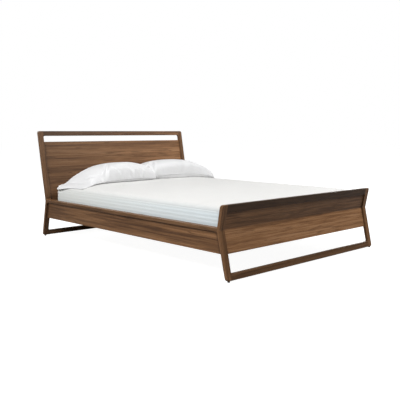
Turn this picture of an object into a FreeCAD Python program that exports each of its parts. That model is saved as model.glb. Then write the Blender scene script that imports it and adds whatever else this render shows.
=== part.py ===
import FreeCAD, Part
import math
import os

# Sleigh-profile platform bed, Queen size, in millimetres.
# Frame: X is the width (symmetry plane X = 0), +Y is the head end, +Z is up.
# Origin: centre of the footprint, on the floor.
# Both end boards are boomerang shaped when seen from the side: the legs lean out
# towards the floor and the boards lean out towards the top, and both bends point
# at the mattress, at the height of the side caps.

V = FreeCAD.Vector
os.makedirs("parts", exist_ok=True)

# ---------------------------------------------------------------- driving sizes
bed_width = 1651.0
post_width = 45.0
bend_u = 1062.0          # outer face of a post at its bend, from mid-length
bend_z = 313.0
leg_lean = 12.5          # degrees from upright, below the bend
board_lean = 10.5        # degrees from upright, above the bend
head_top = 914.0
foot_top = 469.5
glide_height = 8.0
depth_at_floor = 20.0    # level depth of a post at its bottom, bend and top
depth_at_bend = 25.0
depth_at_top = 26.5

corner_radius = 18.0     # outer corners of each end frame
inner_radius = 13.0      # inner corners of each end frame
edge_radius = 2.5

head_rail_height = 42.0
foot_rail_height = 50.0
stretcher_top = 50.0
slot_bottom = 821.0      # top edge of the head panel
panel_bottom = 166.0
panel_recess = 10.0
panel_thickness = 12.0
tongue = 8.0

cap_top = 326.0
cap_thickness = 24.0
cap_flare_below = 34.0
cap_flare_above = 10.0
side_recess = 15.0
side_thickness = 18.0

ledger_width = 35.0
ledger_top = 214.0
ledger_height = 30.0
ledger_half_length = 1030.0
cleat_face_u = 1040.0
cleat_height = 44.0
beam_width = 40.0
beam_height = 44.0
bracket_gauge = 2.5

slat_count = 15
slat_width = 70.0
slat_thickness = 18.0
slat_half_length = 778.0
slat_first_y = -966.0
slat_last_y = 966.0

centre_leg_y = 400.0
centre_leg_radius = 22.0
centre_glide_height = 6.0

mattress_size = (1524.0, 2032.0, 230.0)
mattress_shift = -6.0    # the mattress sits a little towards the foot end
soft_gap = 0.3

pillow_depth = 430.0
pillow_height = 175.0
pillow_y = 812.0
# length, X of the centre and turn in degrees; each outer end is nearer the foot,
# and the two slump to different lengths where they meet
pillow_places = {"pillow_left": (800.0, -374.6, 8.0), "pillow_right": (720.0, 415.4, -8.0)}

# ------------------------------------------------------------------ derived
half_width = bed_width / 2
inner_x = half_width - post_width
leg_slope = math.tan(math.radians(leg_lean))
board_slope = math.tan(math.radians(board_lean))
head_out = bend_u + (head_top - bend_z) * board_slope
leg_out_at_glide = bend_u + (bend_z - glide_height) * leg_slope
# moves the length so that the footprint's centre is at Y = 0
centre_shift = -(head_out - leg_out_at_glide) / 2


def outer(z):
    """Outer face of an end board, as a distance from mid-length."""
    if z < bend_z:
        return bend_u + (bend_z - z) * leg_slope
    return bend_u + (z - bend_z) * board_slope


def depth(z, top):
    """Level depth of a post at height z."""
    if z < bend_z:
        t = (bend_z - z) / (bend_z - glide_height)
        return depth_at_bend + (depth_at_floor - depth_at_bend) * t
    t = (z - bend_z) / (top - bend_z)
    return depth_at_bend + (depth_at_top - depth_at_bend) * t


def inner(z, top):
    """Inner face of an end board, the one towards the mattress."""
    return outer(z) - depth(z, top)


def face_of(points):
    """Plane face from a closed list of points."""
    return Part.Face(Part.makePolygon([V(*p) for p in points + points[:1]]))


def prism_x(outline, x0, x1):
    """Solid whose (u, z) outline runs along X from x0 to x1."""
    return face_of([(x0, u, z) for u, z in outline]).extrude(V(x1 - x0, 0, 0))


def box(x0, x1, y0, y1, z0, z1):
    return Part.makeBox(x1 - x0, y1 - y0, z1 - z0, V(x0, y0, z0))


def rod(start, direction, radius, length):
    return Part.makeCylinder(radius, length, V(*start), V(*direction))


def to_end(shape, end):
    """Turns a shape built for the head end (u = +Y) into place at either end."""
    if end == "foot":
        shape = shape.mirror(V(0, 0, 0), V(0, 1, 0))
    return shape.translated(V(0, centre_shift, 0))


def save(shape, name):
    shape.exportStep("parts/" + name + ".step")


def save_all(shapes, name):
    save(Part.makeCompound(shapes), name)


# ------------------------------------------------------------ end board frames
def frame_solid(top, rail_height):
    """Two posts, top rail and floor stretcher as one block, before it is split."""
    bottom = glide_height
    levels = [bottom, bend_z, top]
    outline = [(inner(z, top), z) for z in levels]
    outline += [(outer(z), z) for z in reversed(levels)]
    blank = prism_x(outline, -half_width, half_width)

    # front view: rounded outside corners, one opening with rounded corners
    outside = rounded_rectangle(-half_width, half_width, bottom, top, corner_radius)
    opening = rounded_rectangle(-inner_x, inner_x, stretcher_top, top - rail_height,
                                inner_radius)
    front = Part.Face(outside).cut(Part.Face(opening))
    block = front.extrude(V(0, 2000, 0))
    frame = blank.common(block).Solids[0]

    # soften every long edge that lies on the two broad faces
    edges = []
    for edge in frame.Edges:
        if edge.Length < 2 * edge_radius:
            continue
        mid = edge.valueAt((edge.FirstParameter + edge.LastParameter) / 2)
        on_outer = abs(mid.y - outer(mid.z)) < 0.01
        on_inner = abs(mid.y - inner(mid.z, top)) < 0.01
        level_bend = abs(mid.z - bend_z) < 0.01
        if (on_outer or on_inner) and not level_bend:
            edges.append(edge)
    return frame.makeFillet(edge_radius, edges)


def rounded_rectangle(x0, x1, z0, z1, r):
    """Closed wire in the plane Y = 0 with four rounded corners."""
    corners = [(x0, z0, 0), (x1, z0, 90), (x1, z1, 180), (x0, z1, 270)]
    steps = {0: (1, 1), 90: (-1, 1), 180: (-1, -1), 270: (1, -1)}
    parts = []
    stops = []
    for x, z, key in corners:
        sx, sz = steps[key]
        centre = (x + sx * r, z + sz * r)
        a = (x, centre[1])
        b = (centre[0], z)
        if key in (90, 270):
            a, b = b, a
        k = math.sqrt(0.5)
        mid = (centre[0] - sx * r * k, centre[1] - sz * r * k)
        parts.append(Part.Arc(V(a[0], 0, a[1]), V(mid[0], 0, mid[1]),
                              V(b[0], 0, b[1])).toShape())
        stops.append((a, b))
    for i, (a, b) in enumerate(stops):
        c = stops[(i + 1) % 4][0]
        parts.append(Part.LineSegment(V(b[0], 0, b[1]), V(c[0], 0, c[1])).toShape())
    return Part.Wire(Part.__sortEdges__(parts))


def split_frame(frame, top):
    """Cuts the frame block at the posts' inner sides into its four pieces."""
    far = 3000.0
    left = frame.common(box(-far, -inner_x, 0, far, 0, far))
    right = frame.common(box(inner_x, far, 0, far, 0, far))
    middle = frame.common(box(-inner_x, inner_x, 0, far, 0, far))
    pieces = sorted(middle.Solids, key=lambda s: s.CenterOfMass.z)
    return left.Solids[0], right.Solids[0], pieces[1], pieces[0]


def board_panel(z0, z1, top, side):
    """Recessed panel, with a tongue of its own thickness into each post.

    side is "inner" when the recess is on the mattress side, "outer" when it is
    on the outside of the bed.
    """
    levels = sorted(set([z0, z1] + [z for z in [bend_z] if z0 < z < z1]))
    if side == "inner":
        near = [(inner(z, top) + panel_recess, z) for z in levels]
        far = [(u + panel_thickness, z) for u, z in reversed(near)]
    else:
        far = [(outer(z) - panel_recess, z) for z in levels]
        near = [(u - panel_thickness, z) for u, z in far]
        far = list(reversed(far))
    return prism_x(near + far, -inner_x - tongue, inner_x + tongue)


boards = {
    "head": {"top": head_top, "rail": head_rail_height, "recess": "inner",
             "panel_top": slot_bottom},
    "foot": {"top": foot_top, "rail": foot_rail_height, "recess": "outer",
             "panel_top": foot_top - foot_rail_height + tongue},
}

dowel_radius = 4.0
dowel_reach = 18.0
dowels = []
post_shapes = {}
lower_panels = {}

for end, board in boards.items():
    top = board["top"]
    frame = frame_solid(top, board["rail"])
    left, right, rail, stretcher = split_frame(frame, top)
    upper = board_panel(bend_z, board["panel_top"], top, board["recess"])
    lower = board_panel(panel_bottom, bend_z, top, board["recess"])

    # dowels: two at each end of the top rail and of the stretcher
    mine = []
    for z_low, z_high in ((top - board["rail"], top), (glide_height, stretcher_top)):
        for share in (0.28, 0.72):
            z = z_low + (z_high - z_low) * share
            u = inner(z, top) + depth(z, top) / 2
            for sx in (-1, 1):
                start = (sx * inner_x - dowel_reach, u, z)
                mine.append(rod(start, (1, 0, 0), dowel_radius, 2 * dowel_reach))
    dowel_set = Part.makeCompound(mine)

    panels = Part.makeCompound([upper, lower])
    post_shapes[end, "left"] = left.cut(panels).cut(dowel_set)
    post_shapes[end, "right"] = right.cut(panels).cut(dowel_set)
    rail = rail.cut(upper).cut(dowel_set)
    stretcher = stretcher.cut(dowel_set)

    save(to_end(rail, end), end + "_top_rail")
    save(to_end(stretcher, end), end + "_stretcher")
    save(to_end(upper, end), end + "_panel_upper")
    lower_panels[end] = lower
    dowels += [to_end(d, end) for d in mine]

save_all(dowels, "frame_dowels")


# ------------------------------------------------------------------ side rails
def corner_filler(corner, along_a, along_b, radius):
    """Face between two lines from a corner and the arc tangent to both."""
    a = V(0, *along_a).normalize()
    b = V(0, *along_b).normalize()
    half = a.getAngle(b) / 2
    reach = radius / math.tan(half)
    origin = V(0, *corner)
    pa = origin + a * reach
    pb = origin + b * reach
    middle = (a + b).normalize()
    centre = origin + middle * (radius / math.sin(half))
    pm = centre - middle * radius
    edges = [Part.LineSegment(origin, pa).toShape(),
             Part.Arc(pa, pm, pb).toShape(),
             Part.LineSegment(pb, origin).toShape()]
    return Part.Face(Part.Wire(edges))


cap_bottom = cap_top - cap_thickness


def inner_y(z, end):
    """Inner face of a post along the length, before centring."""
    if end == "head":
        return inner(z, head_top)
    return -inner(z, foot_top)


def side_cap():
    """Cap rail on the +X side: a bar whose ends flare to meet the posts."""
    x0, x1 = inner_x, half_width
    ring = [(inner_y(cap_bottom, "foot"), cap_bottom), (inner_y(bend_z, "foot"), bend_z),
            (inner_y(cap_top, "foot"), cap_top), (inner_y(cap_top, "head"), cap_top),
            (inner_y(bend_z, "head"), bend_z), (inner_y(cap_bottom, "head"), cap_bottom)]
    bar = prism_x(ring, x0, x1)
    for end, sign in (("foot", 1), ("head", -1)):
        low = (inner_y(cap_bottom, end), cap_bottom)
        low_far = (inner_y(200.0, end) - low[0], 200.0 - cap_bottom)
        face = corner_filler(low, (sign, 0), low_far, cap_flare_below)
        bar = bar.fuse(face.translated(V(x0, 0, 0)).extrude(V(x1 - x0, 0, 0)))
        high = (inner_y(cap_top, end), cap_top)
        high_far = (inner_y(400.0, end) - high[0], 400.0 - cap_top)
        face = corner_filler(high, (sign, 0), high_far, cap_flare_above)
        bar = bar.fuse(face.translated(V(x0, 0, 0)).extrude(V(x1 - x0, 0, 0)))
    bar = bar.removeSplitter()
    edges = []
    for edge in bar.Edges:
        mid = edge.valueAt((edge.FirstParameter + edge.LastParameter) / 2)
        level = abs(edge.BoundBox.ZLength) < 0.01 and edge.Length > 1000
        if level and abs(mid.x - x1) < 0.01:
            edges.append(edge)
        if level and abs(mid.x - x0) < 0.01 and mid.z > bend_z:
            edges.append(edge)
    return bar.makeFillet(edge_radius, edges)


def side_panel():
    """Rail panel on the +X side; its ends follow the posts, its top is a tongue."""
    levels = [panel_bottom, cap_bottom + tongue]
    ring = [(inner_y(z, "foot"), z) for z in levels]
    ring += [(inner_y(z, "head"), z) for z in reversed(levels)]
    x1 = half_width - side_recess
    return prism_x(ring, x1 - side_thickness, x1)


panel_x1 = half_width - side_recess
panel_x0 = panel_x1 - side_thickness
panel_mid = (panel_x0 + panel_x1) / 2

# ----------------------------------------- knock-down joints, rails to the posts
plate_width = 16.0
plate_length = 100.0
plate_gauge = 3.0
plate_low_z = 180.0
hook_thickness = 5.0
hook_height = 14.0
hook_reach = 9.0
screw_radius = 2.0
screw_head_radius = 3.8
screw_head_height = 2.2
plate_screw_length = 15.0


def countersunk(start, direction, length):
    """Countersunk wood screw without its thread: head at start, tip at the end."""
    d = V(*direction).normalize()
    head = Part.makeCone(screw_head_radius, screw_radius, screw_head_height, V(*start), d)
    return head.fuse(rod(start, (d.x, d.y, d.z), screw_radius, length)).removeSplitter()


def joint_frame(end):
    """Placement whose Z runs up the post's inner face and Y points into the post."""
    top = boards[end]["top"]
    low = V(0, inner(plate_low_z, top), plate_low_z)
    up = (V(0, inner(plate_low_z + 50, top), plate_low_z + 50) - low).normalize()
    angle = math.degrees(math.atan2(-up.y, up.z))
    return FreeCAD.Placement(low, FreeCAD.Rotation(V(1, 0, 0), angle))


def knock_down_joint(end):
    """Pieces and pockets of one hook joint on the +X side, at the head position."""
    place = joint_frame(end)
    xa = panel_mid - plate_width / 2
    xb = panel_mid + plate_width / 2
    xh = panel_mid - hook_thickness / 2
    post_plate = box(xa, xb, 0, plate_gauge, 0, plate_length)
    rail_plate = box(xa, xb, -plate_gauge, 0, 0, plate_length)
    slots = []
    pockets = []
    for z in (24.0, 62.0):
        hook = box(xh, xh + hook_thickness, 0, hook_reach, z, z + hook_height)
        rail_plate = rail_plate.fuse(hook)
        slots.append(box(xh - 0.3, xh + hook_thickness + 0.3, 0, plate_gauge,
                         z - 0.5, z + hook_height + 9.0))
        pockets.append(box(xh - 0.3, xh + hook_thickness + 0.3, 0, hook_reach + 1.0,
                           z - 0.5, z + hook_height + 9.0))
    post_screws = []
    rail_screws = []
    for z in (10.0, 92.0):
        post_screws.append(countersunk((panel_mid, 0, z), (0, 1, 0), plate_screw_length))
        rail_screws.append(countersunk((panel_mid, 0, z), (0, -1, 0), plate_screw_length + 10))
    post_cut = Part.makeCompound([post_plate] + pockets + post_screws)
    post_plate = post_plate.cut(Part.makeCompound(slots + post_screws))
    rail_cut = Part.makeCompound([box(xa, xb, -plate_gauge, 0, 0, plate_length)]
                                 + rail_screws)
    rail_plate = rail_plate.removeSplitter().cut(Part.makeCompound(rail_screws))

    def placed(shape):
        return shape.transformGeometry(place.toMatrix())

    return {"post_plate": placed(post_plate), "rail_plate": placed(rail_plate),
            "post_cut": placed(post_cut), "rail_cut": placed(rail_cut),
            "screws": [placed(s) for s in post_screws + rail_screws]}


def mirrored_x(shape):
    return shape.mirror(V(0, 0, 0), V(1, 0, 0))


post_plates = []
rail_plates = []
plate_screws = []
panel_blank = side_panel()
panel_solid = panel_blank
for end in boards:
    joint = knock_down_joint(end)
    cut_right = joint["post_cut"]
    post_shapes[end, "right"] = post_shapes[end, "right"].cut(cut_right)
    post_shapes[end, "left"] = post_shapes[end, "left"].cut(mirrored_x(cut_right))
    rail_cut = joint["rail_cut"]
    if end == "foot":
        rail_cut = rail_cut.mirror(V(0, 0, 0), V(0, 1, 0))
    panel_solid = panel_solid.cut(rail_cut)
    for shape in (joint["post_plate"], mirrored_x(joint["post_plate"])):
        post_plates.append(to_end(shape, end))
    for shape in (joint["rail_plate"], mirrored_x(joint["rail_plate"])):
        rail_plates.append(to_end(shape, end))
    for screw in joint["screws"]:
        plate_screws.append(to_end(screw, end))
        plate_screws.append(to_end(mirrored_x(screw), end))

save_all(post_plates, "post_slot_plates")
save_all(rail_plates, "rail_hook_plates")
save_all(plate_screws, "plate_screws")

# ------------------------------------------------------- ledgers and their screws
ledger_x1 = panel_x0
ledger_x0 = ledger_x1 - ledger_width
ledger = box(ledger_x0, ledger_x1, -ledger_half_length, ledger_half_length,
             ledger_top - ledger_height, ledger_top)
slat_pitch = (slat_last_y - slat_first_y) / (slat_count - 1)
ledger_screws = []
for gap in range(0, slat_count - 1, 2):
    y = slat_first_y + (gap + 0.5) * slat_pitch      # between two slats
    ledger_screws.append(countersunk((ledger_x0, y, ledger_top - 18.0), (1, 0, 0),
                                     ledger_width + 12.0))
ledger = ledger.cut(Part.makeCompound(ledger_screws))
panel_solid = panel_solid.cut(Part.makeCompound(ledger_screws))
cap_solid = side_cap().cut(panel_blank)


def length_placed(shape):
    return shape.translated(V(0, centre_shift, 0))


# --------------------------------------- slats, each fixed at both ends and mid
slat_screws = []
slats = []
for i in range(slat_count):
    y = slat_first_y + i * slat_pitch
    slat = box(-slat_half_length, slat_half_length, y - slat_width / 2, y + slat_width / 2,
               ledger_top, ledger_top + slat_thickness)
    long_edges = [e for e in slat.Edges if e.Length > 2 * slat_half_length - 1]
    slat = slat.makeFillet(2.0, long_edges)
    screws = []
    for x in (-slat_half_length + 9.0, 0.0, slat_half_length - 9.0):
        screws.append(countersunk((x, y, ledger_top + slat_thickness), (0, 0, -1), 38.0))
    slats.append(slat.cut(Part.makeCompound(screws)))
    slat_screws += screws
slat_screw_set = Part.makeCompound(slat_screws)
ledger_left = mirrored_x(ledger).cut(slat_screw_set)
ledger_right = ledger.cut(slat_screw_set)

for i, slat in enumerate(slats):
    save(length_placed(slat), "slat_%02d" % (i + 1))
save_all([length_placed(s) for s in slat_screws], "slat_screws")
both_ledger_screws = ledger_screws + [mirrored_x(s) for s in ledger_screws]
save_all([length_placed(s) for s in both_ledger_screws], "ledger_screws")

for side, turn in (("right", lambda s: s), ("left", mirrored_x)):
    save(length_placed(turn(panel_solid)), "side_panel_" + side)
    save(length_placed(turn(cap_solid)), "side_cap_" + side)
save(length_placed(ledger_left), "slat_ledger_left")
save(length_placed(ledger_right), "slat_ledger_right")

# -------------------------------------- cleats on the end panels, centre beam
cleat_bottom = ledger_top - cleat_height
cleat_screws = []
hanger_screws = []
hangers = []
cleat_half_width = ledger_x0 - 2.0
for end, board in boards.items():
    top = board["top"]
    if board["recess"] == "inner":
        def back(z):
            return inner(z, top) + panel_recess
    else:
        def back(z):
            return outer(z) - panel_recess - panel_thickness
    outline = [(cleat_face_u, cleat_bottom), (cleat_face_u, ledger_top),
               (back(ledger_top), ledger_top), (back(cleat_bottom), cleat_bottom)]
    cleat = prism_x(outline, -cleat_half_width, cleat_half_width)
    z_screw = cleat_bottom + 14.0
    reach = back(z_screw) - cleat_face_u + 8.0
    mine = []
    for x in (-680.0, -420.0, -160.0, 160.0, 420.0, 680.0):
        mine.append(countersunk((x, cleat_face_u, z_screw), (0, 1, 0), reach))
    plate_u = cleat_face_u - bracket_gauge
    half = beam_width / 2
    seat_low = cleat_bottom - bracket_gauge
    hanger = box(-46, 46, plate_u, cleat_face_u, seat_low, ledger_top)
    for sx in (-1, 1):
        xs = sorted((sx * half, sx * (half + bracket_gauge)))
        hanger = hanger.fuse(box(xs[0], xs[1], plate_u - 35, plate_u, seat_low, ledger_top - 8))
    hanger = hanger.fuse(box(-half, half, plate_u - 35, plate_u, seat_low, cleat_bottom))
    hanger = hanger.removeSplitter()
    fixings = []
    for x in (-34.0, 34.0):
        for z in (cleat_bottom + 10.0, ledger_top - 12.0):
            fixings.append(countersunk((x, plate_u, z), (0, 1, 0), 18.0))
    fixing_set = Part.makeCompound(fixings)
    hanger = hanger.cut(fixing_set)
    cleat = cleat.cut(Part.makeCompound(mine)).cut(fixing_set)
    lower = lower_panels[end].cut(Part.makeCompound(mine))
    save(to_end(lower, end), end + "_panel_lower")
    save(to_end(cleat, end), end + "_cleat")
    hangers.append(to_end(hanger, end))
    cleat_screws += [to_end(s, end) for s in mine]
    hanger_screws += [to_end(s, end) for s in fixings]

save_all(hangers, "beam_hangers")
save_all(cleat_screws, "cleat_screws")
save_all(hanger_screws, "hanger_screws")

beam_end = cleat_face_u - bracket_gauge
beam_bottom = ledger_top - beam_height
beam = box(-beam_width / 2, beam_width / 2, -beam_end, beam_end, beam_bottom, ledger_top)
bolt_radius = 4.0
bolts = []
glides = []
for name, sy in (("centre_leg_head_end", 1), ("centre_leg_foot_end", -1)):
    y = sy * centre_leg_y
    leg = rod((0, y, centre_glide_height), (0, 0, 1), centre_leg_radius,
              beam_bottom - centre_glide_height)
    rims = [e for e in leg.Edges if e.BoundBox.ZLength < 0.01]
    leg = leg.makeFillet(1.5, rims)
    bolt = rod((0, y, beam_bottom - 30), (0, 0, 1), bolt_radius, 60)
    foot = rod((0, y, 0), (0, 0, 1), centre_leg_radius - 5, centre_glide_height)
    nail = rod((0, y, centre_glide_height), (0, 0, 1), 1.5, 18)
    foot = foot.fuse(nail).removeSplitter()
    save(length_placed(leg.cut(bolt).cut(foot)), name)
    beam = beam.cut(bolt)
    bolts.append(length_placed(bolt))
    glides.append(length_placed(foot))
beam = beam.cut(slat_screw_set)
save(length_placed(beam), "centre_beam")
save_all(bolts, "centre_leg_bolts")
save_all(glides, "centre_leg_glides")

# ------------------------------------------------------- floor glides, posts
post_glides = []
for end, board in boards.items():
    top = board["top"]
    u = inner(glide_height, top) + depth_at_floor / 2
    for side, sx in (("left", -1), ("right", 1)):
        x = sx * (half_width - post_width / 2)
        pad = rod((x, u, 0), (0, 0, 1), 8.5, glide_height)
        pad = pad.fuse(rod((x, u, glide_height), (0, 0, 1), 1.5, 15)).removeSplitter()
        post = post_shapes[end, side].cut(pad)
        save(to_end(post.Solids[0], end), end + "_post_" + side)
        post_glides.append(to_end(pad, end))
save_all(post_glides, "post_glides")

# --------------------------------------------------------- mattress and pillows
mx, my, mz = mattress_size
mattress_low = ledger_top + slat_thickness + soft_gap
mattress = box(-mx / 2, mx / 2, -my / 2, my / 2, 0, mz)
uprights = [e for e in mattress.Edges if e.BoundBox.ZLength > mz - 1]
mattress = mattress.makeFillet(95.0, uprights)
rims = [e for e in mattress.Edges if e.BoundBox.ZLength < 0.01]
mattress = mattress.makeFillet(24.0, rims)
save(mattress.translated(V(0, mattress_shift + centre_shift, mattress_low)), "mattress")

for name, (length, x, turn) in pillow_places.items():
    pillow = box(-length / 2, length / 2, -pillow_depth / 2, pillow_depth / 2,
                 0, pillow_height)
    uprights = [e for e in pillow.Edges if e.BoundBox.ZLength > pillow_height - 1]
    pillow = pillow.makeFillet(90.0, uprights)
    rims = [e for e in pillow.Edges if e.BoundBox.ZLength < 0.01]
    pillow = pillow.makeFillet(55.0, rims)
    pillow.rotate(V(0, 0, 0), V(0, 0, 1), turn)
    low = mattress_low + mz + soft_gap
    save(pillow.translated(V(x, pillow_y + centre_shift, low)), name)

print("centre shift", round(centre_shift, 3), "length", round(head_out + leg_out_at_glide, 2))
print("nodes", len(os.listdir("parts")))
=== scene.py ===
"""Walnut platform bed with sleigh-shaped ends.

Materials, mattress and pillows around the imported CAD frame.
"""

import math

import bpy
import numpy as np
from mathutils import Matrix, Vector


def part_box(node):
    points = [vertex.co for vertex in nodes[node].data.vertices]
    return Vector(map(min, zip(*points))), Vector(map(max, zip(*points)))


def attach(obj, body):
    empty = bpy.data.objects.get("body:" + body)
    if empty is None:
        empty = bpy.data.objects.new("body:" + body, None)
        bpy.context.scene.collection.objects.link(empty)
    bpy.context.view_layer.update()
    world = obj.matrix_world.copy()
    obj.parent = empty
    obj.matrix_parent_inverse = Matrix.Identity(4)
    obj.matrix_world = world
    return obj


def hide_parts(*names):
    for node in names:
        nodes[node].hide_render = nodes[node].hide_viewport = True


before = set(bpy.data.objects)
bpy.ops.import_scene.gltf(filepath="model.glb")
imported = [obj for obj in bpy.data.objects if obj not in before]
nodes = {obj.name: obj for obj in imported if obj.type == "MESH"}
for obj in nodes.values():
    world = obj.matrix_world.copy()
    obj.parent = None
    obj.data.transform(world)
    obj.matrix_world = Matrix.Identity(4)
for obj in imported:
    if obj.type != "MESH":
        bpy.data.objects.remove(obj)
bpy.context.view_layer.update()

# ---------------------------------------------------------------- sizes in metres, row frame
mattress_low, mattress_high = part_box("mattress")
MATTRESS_CENTRE = (mattress_low + mattress_high) / 2
HALF_X = (mattress_high.x - mattress_low.x) / 2
HALF_Y = (mattress_high.y - mattress_low.y) / 2
BASE_Z = mattress_low.z
BEND_Z = 0.313                      # height at which the posts bend
LENGTH_SHIFT = 0.0219               # the bends' mid-length lies this far towards the foot end
POST_SLANT = 0.238                  # slope of the posts' inner faces below the bend
CORNER_R = 0.072                    # plan radius of the mattress corners
RIM_IN, RIM_UP = 0.046, 0.034       # soft rim along the mattress's top edge
SIDE_TOP = mattress_high.z - 0.043  # where the upright side ends
CROWN = 0.019                       # how far the middle stands above the rim
CROWN_REACH = 0.075                 # how far inside the rim most of the crown is reached
RIPPLE = 0.0011                     # size of each slow wave of the mattress's top
RIPPLE_FADE = 0.12                  # the waves fade out over this distance to the rim
RIB_PITCH = 0.0255                  # spacing of the ribs knitted into the side
RIB_DEPTH = 0.0005                  # half the height of a rib
BELLY = 0.0035                      # how far the middle of the side stands out
SEAM_DEPTH, SEAM_WIDTH = 0.0022, 0.0022
SEAM_DROP = 0.004                   # the seam lies this far under the end of the side
UNDER_IN, UNDER_UP = 0.024, 0.026   # rounding of the mattress's lower edge
UNDER_GAP = 0.0015                  # clearance between the mattress and the slats
SIDE_IN = 0.0042                    # inset of the side where it meets the rim
CENTRE_GAP = 0.001                  # half width of the small cap that closes top and bottom


# ---------------------------------------------------------------- shader helpers
class Graph:
    """A small wrapper that keeps node building short."""

    def __init__(self, name):
        self.material = bpy.data.materials.new(name)
        self.material.use_nodes = True
        self.tree = self.material.node_tree
        self.shader = self.tree.nodes["Principled BSDF"]
        self.object_coords = self.add("ShaderNodeTexCoord").outputs["Object"]

    def add(self, kind, **settings):
        node = self.tree.nodes.new(kind)
        for key, value in settings.items():
            setattr(node, key, value)
        return node

    def feed(self, socket, value):
        if isinstance(value, bpy.types.NodeSocket):
            self.tree.links.new(value, socket)
        else:
            socket.default_value = value

    def math(self, operation, a, b=0.0, c=0.0, clamp=False):
        node = self.add("ShaderNodeMath", operation=operation, use_clamp=clamp)
        for socket, value in zip(node.inputs, (a, b, c)):
            self.feed(socket, value)
        return node.outputs[0]

    def wave(self, value, pitch):
        return self.math("SINE", self.math("MULTIPLY", value, 2 * math.pi / pitch))

    def xyz(self, vector):
        return self.add_linked("ShaderNodeSeparateXYZ", vector).outputs

    def add_linked(self, kind, value, **settings):
        node = self.add(kind, **settings)
        self.feed(node.inputs[0], value)
        return node

    def join(self, x, y, z):
        node = self.add("ShaderNodeCombineXYZ")
        for socket, value in zip(node.inputs, (x, y, z)):
            self.feed(socket, value)
        return node.outputs[0]

    def stretch(self, vector, scale, offset=(0.0, 0.0, 0.0)):
        node = self.add_linked("ShaderNodeMapping", vector)
        node.inputs["Scale"].default_value = scale
        node.inputs["Location"].default_value = offset
        return node.outputs[0]

    def noise(self, vector, detail=3.0, roughness=0.55, distortion=0.0, scale=1.0):
        node = self.add_linked("ShaderNodeTexNoise", vector)
        node.inputs["Scale"].default_value = scale
        node.inputs["Detail"].default_value = detail
        node.inputs["Roughness"].default_value = roughness
        node.inputs["Distortion"].default_value = distortion
        return node.outputs["Fac"]

    def ramp(self, factor, stops):
        node = self.add_linked("ShaderNodeValToRGB", factor)
        while len(node.color_ramp.elements) < len(stops):
            node.color_ramp.elements.new(0.5)
        for element, (position, colour) in zip(node.color_ramp.elements, stops):
            element.position = position
            element.color = (*colour, 1.0)
        return node.outputs["Color"]

    def between(self, value, low, high, to_low=0.0, to_high=1.0):
        node = self.add_linked("ShaderNodeMapRange", value)
        for key, number in (("From Min", low), ("From Max", high),
                            ("To Min", to_low), ("To Max", to_high)):
            node.inputs[key].default_value = number
        return node.outputs["Result"]

    def mix(self, factor, a, b, blend="MIX"):
        node = self.add("ShaderNodeMix", data_type="RGBA", blend_type=blend)
        for socket, value in zip((node.inputs[0], node.inputs[6], node.inputs[7]), (factor, a, b)):
            if isinstance(value, tuple) and len(value) == 3:
                value = (*value, 1.0)
            self.feed(socket, value)
        return node.outputs[2]

    def bump(self, height, distance, strength=1.0):
        node = self.add("ShaderNodeBump")
        node.inputs["Strength"].default_value = strength
        node.inputs["Distance"].default_value = distance
        self.feed(node.inputs["Height"], height)
        self.feed(self.shader.inputs["Normal"], node.outputs["Normal"])

    def surface(self, colour, roughness, **constants):
        self.feed(self.shader.inputs["Base Color"], colour)
        self.feed(self.shader.inputs["Roughness"], roughness)
        for key, value in constants.items():
            self.shader.inputs[key.replace("_", " ")].default_value = value
        return self.material


# ---------------------------------------------------------------- wood
# Each timber's shades, dark to light.
WALNUT = ((0.085, 0.040, 0.0185), (0.155, 0.076, 0.034), (0.225, 0.112, 0.050),
          (0.300, 0.162, 0.080))
POPLAR = ((0.42, 0.30, 0.17), (0.50, 0.37, 0.22), (0.57, 0.43, 0.27), (0.64, 0.50, 0.33))
BEECH = ((0.46, 0.30, 0.18), (0.54, 0.37, 0.23), (0.60, 0.43, 0.28), (0.66, 0.49, 0.33))
GROWTH_LINES = 7.0                  # growth lines across the whole swing of the broad figure
FIGURE_MIDDLE, FIGURE_SPAN = 0.78, 0.22     # range of the summed grain noises
LINE_DARK, PORE_DARK, POST_SHADE_DARK = 0.62, 0.55, 0.5  # shares of the darkest shade; the last is painted shade beside the posts
EDGE_HIGHLIGHT = 1.5                    # share of the light shade in the painted highlight along a top edge
DRIFT_REACH = 0.8                   # half length over which a board's tone drifts, painted light on the headboard


def scaled(colour, share):
    return tuple(c * share for c in colour)


def along(axis, run, cross):
    """A scale vector that is run along the grain and cross over it."""
    return tuple(run if name == axis else cross for name in "xyz")


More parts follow.
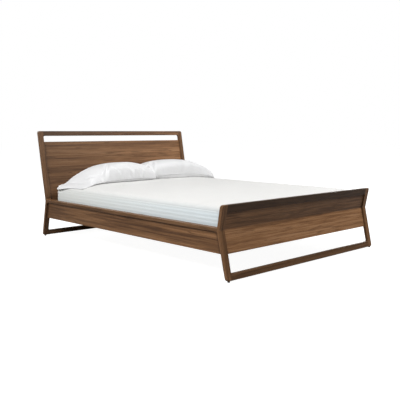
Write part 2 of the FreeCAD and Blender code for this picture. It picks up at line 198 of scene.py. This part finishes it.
def wood(name, axis, seed, colours=WALNUT, tone=1.0, bend=0.0, gloss=0.42, figure=1.0,
         tone_and_light_drift=None, highlight_height=None, ends=None):
    """Straight-grained timber: broad figure, growth lines, streaks and open pores along the axis.

    tone scales all shades, figure the contrast, and bend is the slope of a bent post's halves.
    drift is the tone at the two ends of a long board, a painted light ramp on the headboard;
    highlight_height the height above which a painted highlight lightens the board's top edge; ends
    the half length at which a panel meets the posts, where painted shade darkens it.
    """
    g = Graph(name)
    place = g.object_coords
    x, y, z = g.xyz(place)
    if bend:  # the grain of a bent post leans with its two straight halves
        lean = g.math("MULTIPLY", g.math("ABSOLUTE", g.math("SUBTRACT", z, BEND_Z)), -bend)
        place = g.join(x, g.math("ADD", y, lean), z)
    offset = (seed * 3.71 % 17, seed * 5.13 % 19, seed * 7.97 % 23)
    broad = g.noise(g.stretch(place, along(axis, 0.7, 15), offset), 4, 0.6, 0.3)
    bands = g.noise(g.stretch(place, along(axis, 1.7, 74), offset), 4, 0.62, 0.15)
    streaks = g.noise(g.stretch(place, along(axis, 3.0, 190), offset), 4, 0.65, 0.1)
    fibres = g.noise(g.stretch(place, along(axis, 11, 640), offset), 2, 0.6)
    pores = g.noise(g.stretch(place, along(axis, 34, 1500), offset), 1, 0.5)
    value = g.math("MULTIPLY_ADD", bands, 0.50, g.math("MULTIPLY", broad, 0.54))
    value = g.math("MULTIPLY_ADD", streaks, 0.36, value)
    value = g.math("MULTIPLY_ADD", fibres, 0.16, value)
    value = g.between(value, FIGURE_MIDDLE - FIGURE_SPAN / figure,
                      FIGURE_MIDDLE + FIGURE_SPAN / figure)
    shades = [scaled(colour, tone) for colour in colours]
    colour = g.ramp(value, list(zip((0.05, 0.33, 0.58, 0.95), shades)))
    growth = g.math("SINE", g.math("MULTIPLY", broad, 2 * math.pi * GROWTH_LINES))
    lines = g.math("MULTIPLY", g.between(growth, 0.62, 0.97),
                   g.between(bands, 0.38, 0.62, 0.15, 0.62))
    colour = g.mix(lines, colour, scaled(shades[0], LINE_DARK))
    open_pores = g.between(pores, 0.61, 0.70)
    colour = g.mix(g.math("MULTIPLY", open_pores, 0.45), colour, scaled(shades[0], PORE_DARK))
    # Painted light on some boards: a tone ramp from end to end, lighter where more light falls.
    if tone_and_light_drift:
        shade = g.between(x if axis == "x" else y, -DRIFT_REACH, DRIFT_REACH, *tone_and_light_drift)
        colour = g.mix(1.0, colour, g.join(shade, shade, shade), "MULTIPLY")
    # Painted highlight: the top edge is lighter, as where light catches it.
    if highlight_height:
        edge = g.between(z, highlight_height - 0.0035, highlight_height - 0.0015)
        colour = g.mix(edge, colour, scaled(shades[2], EDGE_HIGHLIGHT))
    # Painted shade: the panel darkens beside the posts, where the recessed panel meets them.
    if ends:
        reach = g.math("ABSOLUTE", g.math("ADD", y, LENGTH_SHIFT))
        reach = g.math("MULTIPLY_ADD", g.math("SUBTRACT", BEND_Z, z), -POST_SLANT, reach)
        post_shade = g.between(reach, ends - 0.034, ends - 0.012)
        colour = g.mix(g.math("MULTIPLY", post_shade, 0.80), colour, scaled(shades[0], POST_SHADE_DARK))
    roughness = g.between(streaks, 0.3, 0.7, gloss - 0.05, gloss + 0.07)
    g.bump(g.math("SUBTRACT", g.math("MULTIPLY", fibres, 0.5), open_pores), 0.00012, 0.7)
    return g.surface(colour, roughness, Specular_IOR_Level=0.20)


def paint(name, material):
    """Gives a CAD node one material in every slot."""
    mesh = nodes[name].data
    mesh.materials.clear()
    mesh.materials.append(material)


def paint_all(names, material):
    for node in names:
        paint(node, material)


WOOD_NODES = {  # node: grain axis, tone, lean of a bent post
    "head_post_left": ("z", 0.64, 0.2), "head_post_right": ("z", 0.92, 0.2),
    "foot_post_left": ("z", 0.84, -0.2), "foot_post_right": ("z", 0.92, -0.2),
    "head_top_rail": ("x", 0.54, 0), "foot_top_rail": ("x", 0.29, 0),
    "head_stretcher": ("x", 0.62, 0), "foot_stretcher": ("x", 0.62, 0),
    "head_panel_upper": ("x", 0.93, 0), "head_panel_lower": ("x", 0.93, 0),
    # foot_panel_lower's high tone is partly its own lighter colour and partly painted light,
    # standing in for front light.
    "foot_panel_upper": ("x", 0.88, 0), "foot_panel_lower": ("x", 1.42, 0),
    "side_cap_left": ("y", 0.58, 0), "side_cap_right": ("y", 0.58, 0),
    "side_panel_left": ("y", 0.82, 0), "side_panel_right": ("y", 0.82, 0),
}
# On the headboard's upper panel and top rail the drift is painted light: it paints them lighter to
# the right, where more light falls.
WOOD_EXTRAS = {
    "head_panel_upper": dict(tone_and_light_drift=(0.72, 1.42)),
    "head_top_rail": dict(tone_and_light_drift=(0.52, 1.80)),
    # painted highlight along the caps' top edge
    "side_cap_left": dict(highlight_height=0.326), "side_cap_right": dict(highlight_height=0.326),
    # painted shade on the side panels beside the posts
    "side_panel_left": dict(ends=1.037, figure=1.25, tone_and_light_drift=(1.16, 0.88)),
    "side_panel_right": dict(ends=1.037, figure=1.25, tone_and_light_drift=(1.16, 0.88)),
    "foot_panel_lower": dict(figure=1.6, tone_and_light_drift=(1.06, 0.94)),
    "foot_panel_upper": dict(figure=1.2, tone_and_light_drift=(1.22, 0.88)),
}
for seed, (name, (axis, tone, bend)) in enumerate(WOOD_NODES.items(), 1):
    extras = WOOD_EXTRAS.get(name, {})
    paint(name, wood("walnut_" + name, axis, seed, tone=tone, bend=bend, **extras))

poplar_y = wood("poplar_lengthwise", "y", 31, POPLAR, gloss=0.6)
poplar_x = wood("poplar_crosswise", "x", 33, POPLAR, gloss=0.6)
poplar_z = wood("poplar_upright", "z", 32, POPLAR, gloss=0.6)
paint_all(("slat_ledger_left", "slat_ledger_right", "centre_beam"), poplar_y)
paint_all(("head_cleat", "foot_cleat"), poplar_x)
paint_all(("centre_leg_head_end", "centre_leg_foot_end"), poplar_z)
slats = sorted(n for n in nodes if n.startswith("slat_") and n[5:].isdigit())
slat_woods = [wood("poplar_slat_%d" % k, "x", 40 + k, POPLAR, tone=1 - 0.04 * k, gloss=0.6)
              for k in range(3)]
for i, name in enumerate(slats):
    paint(name, slat_woods[i * 2 % 3])
paint("frame_dowels", wood("beech_dowels", "x", 50, BEECH, gloss=0.6))


# ---------------------------------------------------------------- metal and plastic
def metal(name, colour, gloss, cell):
    """Plated metal with a faint spangle and fine scratches."""
    g = Graph(name)
    cells = g.stretch(g.object_coords, (cell,) * 3)
    spangle = g.add_linked("ShaderNodeTexVoronoi", cells).outputs["Color"]
    grey = g.add_linked("ShaderNodeRGBToBW", spangle).outputs[0]
    scratches = g.noise(g.stretch(g.object_coords, (90, 900, 900)), 2)
    tint = g.mix(grey, scaled(colour, 0.86), colour)
    g.bump(scratches, 0.00004, 0.5)
    return g.surface(tint, g.between(scratches, 0.3, 0.7, gloss, gloss + 0.15), Metallic=1.0)


def plastic(name, colour):
    """Moulded nylon, or powder coat: a fine even grain."""
    g = Graph(name)
    fine = g.noise(g.stretch(g.object_coords, (1800,) * 3), 2)
    patches = g.noise(g.stretch(g.object_coords, (60,) * 3), 2)
    tint = g.mix(patches, scaled(colour, 0.8), colour)
    g.bump(fine, 0.00006, 0.6)
    return g.surface(tint, g.between(fine, 0.3, 0.7, 0.45, 0.62))


zinc = metal("zinc_plate", (0.72, 0.72, 0.70), 0.30, 700)
steel = plastic("bracket_steel", (0.036, 0.036, 0.040))
nylon = plastic("nylon_glide", (0.050, 0.045, 0.040))
paint_all(("slat_screws", "ledger_screws", "cleat_screws", "hanger_screws", "plate_screws",
           "centre_leg_bolts"), zinc)
paint_all(("beam_hangers", "post_slot_plates", "rail_hook_plates"), steel)
paint_all(("post_glides", "centre_leg_glides"), nylon)


# ---------------------------------------------------------------- fabric
KNIT_PITCH, WEAVE_PITCH = 0.0026, 0.0016   # of the mattress cover and the pillow cotton


def ticking(name):
    """Mattress cover: a white knitted top and a cooler ribbed side."""
    g = Graph(name)
    x, y, z = g.xyz(g.object_coords)
    on_side = g.between(z, SIDE_TOP + RIM_UP * 0.85, SIDE_TOP - 0.022)
    low = g.between(z, BASE_Z + 0.16, BASE_Z + 0.05)
    # The side turns darker towards its bottom, and bluer towards the foot end: a painted cool cast
    # of light.
    side = g.mix(low, (0.690, 0.712, 0.690), (0.650, 0.690, 0.685))
    side = g.mix(g.between(y, 0.7, -0.9, 0.0, 1.0), side, (0.655, 0.725, 0.755))
    cloudy = g.noise(g.stretch(g.object_coords, (5.5, 5.5, 16)), 3)
    top = g.mix(cloudy, (0.720, 0.715, 0.697), (0.756, 0.751, 0.733))
    rib = g.wave(z, RIB_PITCH)
    # Painted shade: the side darkens in the grooves between its ribs.
    groove_shade = g.math("MULTIPLY", g.between(rib, -0.45, -0.98), 0.09)
    side = g.mix(groove_shade, side, (0.52, 0.55, 0.55))
    colour = g.mix(on_side, top, side)
    weave = g.math("MULTIPLY", g.wave(g.math("ADD", x, y), KNIT_PITCH),
                   g.wave(g.math("ADD", z, g.math("SUBTRACT", x, y)), KNIT_PITCH))
    # Painted shade: the knit is darker in its hollows, where its bump is low.
    colour = g.mix(g.between(weave, -1, 1, 0.10, 0.0), colour, (0.5, 0.52, 0.52))
    g.bump(weave, 0.00025, 0.6)
    return g.surface(colour, g.between(cloudy, 0.3, 0.7, 0.80, 0.92),
                     Sheen_Weight=0.25, Sheen_Roughness=0.5)


def cotton(name, seed):
    """Plain-woven white pillow cotton."""
    g = Graph(name)
    x, y, z = g.xyz(g.object_coords)
    cloudy = g.noise(g.stretch(g.object_coords, (9, 9, 9), (seed, seed, 0)), 3)
    colour = g.mix(cloudy, (0.725, 0.727, 0.735), (0.770, 0.770, 0.772))
    warp = g.wave(g.math("ADD", x, g.math("MULTIPLY", z, 0.5)), WEAVE_PITCH)
    weft = g.wave(g.math("ADD", y, z), WEAVE_PITCH)
    weave = g.math("ADD", warp, weft)
    # Painted shade: the weave is darker in its hollows, where its bump is low.
    colour = g.mix(g.between(weave, -2, 2, 0.07, 0.0), colour, (0.60, 0.61, 0.63))
    g.bump(weave, 0.0001, 0.5)
    return g.surface(colour, g.between(cloudy, 0.3, 0.7, 0.78, 0.88),
                     Sheen_Weight=0.3, Sheen_Roughness=0.4)


def new_object(name, points, faces, material):
    mesh = bpy.data.meshes.new(name)
    mesh.from_pydata([tuple(map(float, p)) for p in points], [], faces)
    mesh.materials.append(material)
    mesh.validate()
    for polygon in mesh.polygons:
        polygon.use_smooth = True
    thing = bpy.data.objects.new(name, mesh)
    bpy.context.scene.collection.objects.link(thing)
    return thing


# ---------------------------------------------------------------- mattress
def crown_at(inset):
    """Height of the mattress top at a distance inside its edge."""
    inner = np.maximum(np.asarray(inset, float) - RIM_IN, 0)
    return SIDE_TOP + RIM_UP + CROWN * (1 - np.exp(-inner / CROWN_REACH))


def ripple(x, y):
    """Slow unevenness of the top, a few millimetres at most."""
    return RIPPLE * (np.sin(5.1 * x + 2.3 * y + 0.4) + np.sin(-3.7 * x + 6.4 * y + 1.9)
                     + np.sin(11.3 * x + 1.2 * y))


def inset_at(x, y):
    """Distance inside the nearest edge of the mattress's plan."""
    return np.minimum(HALF_X - np.abs(x - MATTRESS_CENTRE.x),
                      HALF_Y - np.abs(y - MATTRESS_CENTRE.y))


def mattress_top(x, y):
    inset = inset_at(x, y)
    blend = np.clip((inset - RIM_IN) / RIPPLE_FADE, 0, 1)
    return crown_at(inset) + ripple(x, y) * blend


# Out to this share of the rim a cloth follows its round; then it hangs straight on.
ROLL_END, ROLL_HEIGHT, ROLL_SLOPE = 0.6, 0.8, 0.75


def drape_height(x, y):
    """Height of a cloth that lies on the mattress and hangs off its soft rim."""
    q = np.clip((RIM_IN - inset_at(x, y)) / RIM_IN, 0, None)
    roll = np.where(q < ROLL_END, np.sqrt(np.clip(1 - q ** 2, 0, 1)),
                    ROLL_HEIGHT - ROLL_SLOPE * (q - ROLL_END))
    return mattress_top(x, y) - RIM_UP * (1 - roll)


def ring(inset, straight_x=70, straight_y=92, corner=14):
    """Points round the mattress, a rounded rectangle drawn in by inset."""
    a, b = HALF_X - inset, HALF_Y - inset
    r = min(CORNER_R * max(1 - inset / HALF_X, 0) + 1e-5, a)
    path = []
    for cx, cy, start, steps in ((1, 1, 0, straight_x), (-1, 1, 90, straight_y),
                                 (-1, -1, 180, straight_x), (1, -1, 270, straight_y)):
        turn = np.radians(start + np.linspace(0, 90, corner))
        path.append(np.stack([cx * (a - r) + r * np.cos(turn), cy * (b - r) + r * np.sin(turn)], 1))
        end = path[-1][-1]
        run = 2 * (a - r) if start in (0, 180) else 2 * (b - r)
        direction = np.array([-math.sin(turn[-1]), math.cos(turn[-1])])
        path.append(end + np.outer(np.arange(1, steps) / steps * run, direction))
    return np.concatenate(path) + np.array([MATTRESS_CENTRE.x, MATTRESS_CENTRE.y])


def make_mattress():
    """One closed mesh of rings, from the middle of the underside to the middle of the top.

    Each row is an inset from the mattress's edge and a height, or None on the crowned top.
    """
    under_z = BASE_Z + UNDER_GAP
    rows = [(i, under_z) for i in (HALF_X - CENTRE_GAP, 0.6, 0.4, 0.25, 0.14, 0.08)]
    for angle in np.radians(np.linspace(0, 90, 8)):
        rows.append((UNDER_IN * (1 - math.sin(angle)), under_z + UNDER_UP * (1 - math.cos(angle))))
    side_from = rows[-1][1]
    for z in np.linspace(side_from, SIDE_TOP, 66)[1:]:
        share = (z - side_from) / (SIDE_TOP - side_from)
        rib = RIB_DEPTH * (math.sin(2 * math.pi * z / RIB_PITCH) - 1)
        belly = -BELLY * (2 * share - 1) ** 2
        seam = -SEAM_DEPTH * math.exp(-((SIDE_TOP - SEAM_DROP - z) / SEAM_WIDTH) ** 2)
        rows.append((-(rib + belly + seam), float(z)))
    for angle in np.radians(np.linspace(8, 90, 10)):
        rows.append((SIDE_IN + (RIM_IN - SIDE_IN) * (1 - math.cos(angle)),
                     SIDE_TOP + RIM_UP * math.sin(angle)))
    inset = RIM_IN
    while inset < HALF_X - 0.02:
        inset += 0.006 + 0.10 * min(inset - RIM_IN + 0.01, 0.14)
        rows.append((min(inset, HALF_X - CENTRE_GAP), None))
    points, rings = [], []
    for inset, z in rows:
        plan = ring(inset)
        if z is None:  # the crown follows the ring, so that the rounded corners roll over too
            blend = min(max((inset - RIM_IN) / RIPPLE_FADE, 0), 1)
            height = crown_at(inset) + ripple(plan[:, 0], plan[:, 1]) * blend
        else:
            height = np.full(len(plan), z)
        rings.append(range(len(points), len(points) + len(plan)))
        points.extend(np.column_stack([plan, height]))
    count = len(rings[0])
    faces = [(low[i], low[(i + 1) % count], high[(i + 1) % count], high[i])
             for low, high in zip(rings, rings[1:]) for i in range(count)]
    faces.append(tuple(reversed(rings[0])))
    faces.append(tuple(rings[-1]))
    return new_object("mattress_cover", points, faces, ticking("mattress_ticking"))


mattress = make_mattress()
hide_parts("mattress")
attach(mattress, "mattress")


# ---------------------------------------------------------------- pillows
# corners: front outer, front inner, back outer, back inner: x, y and height above the mattress.
# side -1 is the left pillow, whose open end is the outer one. hem, lift, peak, soft_end and
# steep shape it in pillow_form. folds: from (u, v) to (u, v), depth and width of each crease.
PILLOWS = {
    "pillow_left": dict(
        corners=((-0.752, 0.528, 0.000), (0.060, 0.600, 0.004),
                 (-0.787, 0.930, -0.010), (0.050, 1.030, 0.058)),
        side=-1, seed=3, loft=0.143, hem=0.21, lift=0.018, peak=0.20,
        soft_end=(-0.62, -0.16), steep=0.36,
        folds=(((-0.40, -0.99), (-0.12, -0.30), 0.0060, 0.013),
               ((-0.20, -0.62), (0.00, -0.96), 0.0050, 0.010),
               ((0.02, -0.50), (0.34, -0.93), 0.0065, 0.011),
               ((0.16, -0.36), (0.66, -0.84), 0.0055, 0.012),
               ((0.30, -0.20), (0.90, -0.55), 0.0040, 0.013),
               ((-0.72, -0.40), (-0.50, -0.95), 0.0035, 0.012),
               ((0.48, -0.80), (0.60, -0.98), 0.0040, 0.008))),
    "pillow_right": dict(
        corners=((0.786, 0.572, 0.008), (0.062, 0.700, 0.003),
                 (0.800, 0.950, 0.008), (0.048, 1.034, 0.058)),
        side=1, seed=8, loft=0.153, hem=0.0, lift=0.024, peak=0.10,
        soft_end=(0.96, 0.70), steep=0.25,
        folds=(((0.86, -0.99), (0.70, -0.25), 0.0060, 0.012),
               ((0.95, -0.35), (0.74, -0.60), 0.0040, 0.010),
               ((-0.80, -0.30), (-0.97, -0.55), 0.0050, 0.009),
               ((-0.72, -0.55), (-0.93, -0.80), 0.0055, 0.009),
               ((-0.62, -0.74), (-0.84, -0.95), 0.0045, 0.009),
               ((-0.30, -0.70), (-0.05, -0.95), 0.0030, 0.014))),
}
# The upright plane where the two pillows touch.
CONTACT_POINT, CONTACT_NORMAL = np.array([0.058, 0.878]), np.array([0.96, 0.28])
CONTACT_NORMAL = CONTACT_NORMAL / np.linalg.norm(CONTACT_NORMAL)
TOUCH_GAP = 0.0015                  # kept between a pillow and what it lies against
HEM_GAP, BED_GAP = 0.004, 0.003     # height of a pillow's edge and underside over the mattress
EDGE_SHARE = 0.045                  # thickness of a pillow's edge as a share of its loft
CREASE_GAIN = 1.45                  # how much deeper the creases are pressed than listed
CREASE_RIDGE = 0.8                  # height of the ridges beside a crease as a share of its depth
PIPING_R = 0.0022
JITTER = 0.0006                     # unevenness that lets the cloth buckle
OUTER_POWER, INNER_POWER = 0.70, 0.36       # how round a pillow's outer and inner shoulders are
SOFT_POWER, ACROSS_POWER = 0.80, 2.3        # how its front and back fall away


def smooth_step(value, low, high):
    t = np.clip((value - low) / (high - low), 0, 1)
    return t * t * (3 - 2 * t)


def pillow_form(u, v, facts):
    """How plump a pillow is, 0 to 1: a skewed dome, steep in front, with an empty outer hem."""
    hem, peak = facts["hem"], facts["peak"]
    s = 2 * (u + 1 - hem) / (2 - hem) - 1
    outer = np.clip(1 - np.clip((peak - s) / (1 + peak), 0, 1) ** 2, 0, 1) ** OUTER_POWER
    inner = np.clip(1 - (np.clip(s - peak, 0, 1) / (1.03 - peak)) ** 2, 0, 1) ** INNER_POWER
    power = SOFT_POWER + (facts["steep"] - SOFT_POWER) * smooth_step(u, *facts["soft_end"])
    across = np.clip(1 - np.abs(v) ** ACROSS_POWER, 0, 1) ** power
    return np.where(s < peak, outer, inner) * across


def pillow_points(facts, nu, nv):
    """Top and bottom sheets of a plump pillow between four corners.

    u runs from the outer to the inner end and v from front to back, both -1 to 1.
    """
    t, s = np.linspace(-1, 1, nu + 1), np.linspace(-1, 1, nv + 1)
    u, v = np.meshgrid(0.55 * t + 0.45 * np.sin(math.pi * t / 2),
                       0.55 * s + 0.45 * np.sin(math.pi * s / 2), indexing="ij")
    front_outer, front_inner, back_outer, back_inner = (np.array(c) for c in facts["corners"])
    pull_v = v * (1 - 0.085 * (1 - u ** 2) - 0.05 * np.abs(u) ** 18)
    pull_u = u * (1 - 0.030 * (1 - v ** 2) - 0.03 * np.abs(v) ** 12)
    wu, wv = ((pull_u + 1) / 2)[..., None], ((pull_v + 1) / 2)[..., None]
    middle = ((1 - wu) * (1 - wv) * front_outer + wu * (1 - wv) * front_inner
              + (1 - wu) * wv * back_outer + wu * wv * back_inner)
    form = pillow_form(u, v, facts)
    rim = EDGE_SHARE * np.sqrt(np.clip((1 - u ** 20) * (1 - v ** 20), 0, 1))
    middle[..., 2] += drape_height(middle[..., 0], middle[..., 1]) + HEM_GAP
    middle[..., 2] += facts["lift"] * pillow_form(u, 0 * v, facts) * (1 - np.abs(u) ** 6)
    rest = mattress_top(middle[..., 0], middle[..., 1]) + BED_GAP
    top = middle.copy()
    crest = rest + facts["loft"]
    top[..., 2] += np.maximum(crest - middle[..., 2], 0) * form + facts["loft"] * rim
    bottom = middle.copy()
    bottom[..., 2] += (rest - middle[..., 2]) * np.clip(form * 1.5, 0, 1) - facts["loft"] * rim
    return u, v, top, bottom


def pillow_mesh(name, facts, material, nu=96, nv=56):
    """Joins the two sheets along their edge. Returns the object, its edge loop and the grid."""
    u, v, top, bottom = pillow_points(facts, nu, nv)
    index_top = np.arange((nu + 1) * (nv + 1)).reshape(nu + 1, nv + 1)
    edge = (np.abs(u) > 0.9999) | (np.abs(v) > 0.9999)
    index_bottom = index_top.copy()
    inner = ~edge
    index_bottom[inner] = index_top.size + np.arange(inner.sum())
    points = np.concatenate([top.reshape(-1, 3), bottom[inner]])
    faces = []
    for i in range(nu):
        for j in range(nv):
            cell = ((i, j), (i + 1, j), (i + 1, j + 1), (i, j + 1))
            faces.append(tuple(int(index_top[corner]) for corner in cell))
            faces.append(tuple(int(index_bottom[corner]) for corner in reversed(cell)))
    if facts["side"] > 0:  # mirrored, so the faces are turned over to look outwards
        faces = [face[::-1] for face in faces]
    loop = [*index_top[:, 0], *index_top[-1, 1:], *index_top[-2::-1, -1], *index_top[0, -2:0:-1]]
    return new_object(name, points, faces, material), [int(i) for i in loop], u, v


def fold(thing, u, v, folds, half_length=0.43, half_depth=0.20):
    """Presses creases into the top sheet, each between two (u, v) points."""
    offset = np.zeros(u.shape)
    for start, end, depth, width in folds:
        scale = np.array([half_length, half_depth])
        a, b = np.array(start) * scale, np.array(end) * scale
        run = b - a
        here = np.stack([u * half_length, v * half_depth], -1) - a
        share = np.clip(here @ run / (run @ run), 0, 1)
        away = np.linalg.norm(here - share[..., None] * run, axis=-1)
        fade = np.clip(4 * share * (1.15 - share), 0, 1)
        ridge = np.exp(-((away - 2.1 * width) / (1.1 * width)) ** 2)
        offset += CREASE_GAIN * depth * fade * (CREASE_RIDGE * ridge - np.exp(-(away / width) ** 2))
    normals = np.zeros(len(thing.data.vertices) * 3)
    thing.data.vertices.foreach_get("normal", normals)
    co = read_points(thing)
    count = offset.size
    co[:count] += normals.reshape(-1, 3)[:count] * offset.reshape(-1, 1)
    write_points(thing, co)


def read_points(thing):
    co = np.zeros(len(thing.data.vertices) * 3)
    thing.data.vertices.foreach_get("co", co)
    return co.reshape(-1, 3)


def write_points(thing, co):
    thing.data.vertices.foreach_set("co", np.asarray(co, float).ravel())
    thing.data.update()


def keep_clear(co, side):
    """Keeps a pillow above the mattress and on its own side of the plane of contact."""
    out = co.copy()
    over = (out[:, :2] - CONTACT_POINT) @ CONTACT_NORMAL * -side + TOUCH_GAP
    push = np.maximum(over, 0)
    out[:, :2] += np.outer(push * side, CONTACT_NORMAL)
    over_mattress = inset_at(out[:, 0], out[:, 1]) > 0
    lowest = drape_height(out[:, 0], out[:, 1]) + TOUCH_GAP
    out[:, 2] = np.where(over_mattress, np.maximum(out[:, 2], lowest), out[:, 2])
    return out


def filled_share(thing, facts):
    """0 along the empty hem, which stays flat on the mattress, and 1 where the pillow is filled."""
    x = read_points(thing)[:, 0]
    low, high = x.min(), x.max()
    from_hem = (x - low if facts["side"] < 0 else high - x) / (high - low) * 2
    return smooth_step(from_hem, facts["hem"] * 0.7, facts["hem"] * 1.6 + 0.05)


def simulate(thing, side, seed, slack, frames=20, cap=0.013):
    """Lets the slack cloth of a pillow buckle into soft wrinkles, then applies the result."""
    start = read_points(thing)
    rng = np.random.default_rng(seed)
    write_points(thing, start + rng.normal(0, JITTER, start.shape))
    cloth = thing.modifiers.new("cloth", "CLOTH")
    settings = cloth.settings
    settings.quality = 6
    settings.mass = 0.25
    settings.tension_stiffness = settings.compression_stiffness = 12
    settings.shear_stiffness = 6
    settings.bending_stiffness = 0.15
    settings.tension_damping = settings.compression_damping = settings.shear_damping = 6
    settings.air_damping = 2
    settings.use_pressure = True
    settings.uniform_pressure_force = 3.2
    settings.shrink_min = settings.shrink_max = -0.09
    settings.effector_weights.gravity = 0
    cloth.point_cache.frame_start, cloth.point_cache.frame_end = 1, frames
    scene = bpy.context.scene
    for number in range(1, frames + 1):
        scene.frame_set(number)
    evaluated = thing.evaluated_get(bpy.context.evaluated_depsgraph_get())
    moved = np.zeros(len(thing.data.vertices) * 3)
    evaluated.data.vertices.foreach_get("co", moved)
    thing.modifiers.remove(cloth)
    scene.frame_set(1)
    shift = moved.reshape(-1, 3) - start
    length = np.linalg.norm(shift, axis=1, keepdims=True)
    shift *= np.minimum(1, cap / np.maximum(length, 1e-9)) * slack[:, None]
    write_points(thing, keep_clear(start + shift, side))


def tube(name, path, radius, material, sides=8):
    """A closed round cord through the points of a loop."""
    path = np.asarray(path)
    for _ in range(2):
        path = (np.roll(path, 1, 0) + 2 * path + np.roll(path, -1, 0)) / 4
    run = np.roll(path, -1, 0) - np.roll(path, 1, 0)
    run /= np.linalg.norm(run, axis=1, keepdims=True)
    out = np.cross(run, (0, 0, 1.0))
    out /= np.linalg.norm(out, axis=1, keepdims=True)
    up = np.cross(out, run)
    turn = np.linspace(0, 2 * math.pi, sides, endpoint=False)
    points = (path[:, None] + radius * (np.cos(turn)[None, :, None] * out[:, None]
                                        + np.sin(turn)[None, :, None] * up[:, None])).reshape(-1, 3)
    count = len(path)
    faces = []
    for i in range(count):
        here, there = i * sides, (i + 1) % count * sides
        for j in range(sides):
            k = (j + 1) % sides
            faces.append((here + j, there + j, there + k, here + k))
    return new_object(name, points, faces, material)


def apply_modifiers(thing):
    evaluated = thing.evaluated_get(bpy.context.evaluated_depsgraph_get())
    final = bpy.data.meshes.new_from_object(evaluated)
    thing.modifiers.clear()
    thing.data = final


for name, facts in PILLOWS.items():
    fabric = cotton("cotton_" + name, facts["seed"])
    pillow, seam, u, v = pillow_mesh(name + "_cover", facts, fabric)
    write_points(pillow, keep_clear(read_points(pillow), facts["side"]))
    simulate(pillow, facts["side"], facts["seed"], filled_share(pillow, facts))
    fold(pillow, u, v, facts["folds"])
    seam_path = read_points(pillow)[seam]
    pillow.modifiers.new("smooth", "SUBSURF").render_levels = 1
    pillow.modifiers["smooth"].levels = 1
    apply_modifiers(pillow)
    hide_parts(name)
    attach(pillow, name)
    piping = tube(name + "_piping", seam_path, PIPING_R, fabric)
    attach(piping, name)


# ---------------------------------------------------------------- floor, light and camera
FLOOR_GREY = 0.36                   # how much of the studio light the floor throws back
FLOOR_HALF = 30.0
CAMERA_PLACE = (-3.3279, -3.5620, 0.9121)
CAMERA_DOWN, CAMERA_HEADING = 6.655, -43.359    # degrees
LENS, SENSOR = 52.99, 36.0                      # millimetres


def pale(name, value):
    g = Graph(name)
    speck = g.noise(g.stretch(g.object_coords, (3, 3, 3)), 2)
    return g.surface(g.mix(speck, (value * 0.985,) * 3, (value,) * 3), 0.9)


def floor(name, z, material):
    corners = [(x * FLOOR_HALF, y * FLOOR_HALF, z) for x, y in ((-1, -1), (1, -1), (1, 1), (-1, 1))]
    thing = new_object(name, corners, [(0, 1, 2, 3)], material)
    return thing


def lit_floor(name):
    """A pale light-table floor: it glows evenly, so that shadows on it stay faint."""
    g = Graph(name)
    x, y, _ = g.xyz(g.object_coords)
    away = g.math("SQRT", g.math("ADD", g.math("MULTIPLY", x, x), g.math("MULTIPLY", y, y)))
    glow = g.between(away, 1.5, 9.0, 0.95, 1.0)
    emit = g.join(glow, glow, glow)
    g.feed(g.shader.inputs["Emission Color"], emit)
    return g.surface((FLOOR_GREY, FLOOR_GREY, FLOOR_GREY, 1.0), 0.95,
                     Emission_Strength=1.0, Specular_IOR_Level=0.0)


# The camera sees the glowing floor; light bounces off the second one, just under it.
seen_floor = floor("floor", 0.0, lit_floor("floor"))
seen_floor.visible_diffuse = seen_floor.visible_glossy = seen_floor.visible_shadow = False
bounce_floor = floor("floor_bounce", -0.001, pale("floor_bounce", FLOOR_GREY))
bounce_floor.visible_camera = False

# A white backdrop for the camera that lights nothing.
world = bpy.data.worlds.new("studio")
bpy.context.scene.world = world
world.use_nodes = True
background = world.node_tree.nodes["Background"]
background.inputs["Color"].default_value = (1, 1, 1, 1)
background.inputs["Strength"].default_value = 1.0
world.cycles_visibility.diffuse = False
world.cycles_visibility.glossy = False


def softbox(name, place, target, width, height, watts):
    light = bpy.data.lights.new(name, "AREA")
    light.shape = "RECTANGLE"
    light.size, light.size_y = width, height
    light.energy = watts
    thing = bpy.data.objects.new(name, light)
    bpy.context.scene.collection.objects.link(thing)
    thing.location = place
    thing.rotation_euler = (Vector(target) - Vector(place)).to_track_quat("-Z", "Y").to_euler()
    thing.visible_camera = False


softbox("front", (3.3, -3.6, 5.0), (0.3, 0.0, 0.3), 2.8, 2.4, 335)
softbox("left", (-4.9, -0.5, 4.1), (0.0, 0.0, 0.3), 3.0, 2.2, 365)
softbox("right", (5.4, 0.6, 1.9), (0.0, 0.0, 0.4), 3.0, 2.0, 90)
softbox("behind", (-0.6, 5.6, 1.8), (0.0, 0.0, 0.4), 3.0, 2.0, 110)

camera_data = bpy.data.cameras.new("camera")
camera = bpy.data.objects.new("camera", camera_data)
bpy.context.scene.collection.objects.link(camera)
camera_data.sensor_width = SENSOR
camera_data.lens = LENS
camera_data.clip_end = 200.0
camera.location = CAMERA_PLACE
camera.rotation_euler = (math.radians(90 - CAMERA_DOWN), 0.0, math.radians(CAMERA_HEADING))
bpy.context.scene.camera = camera
bpy.context.scene.view_settings.view_transform = "Standard"
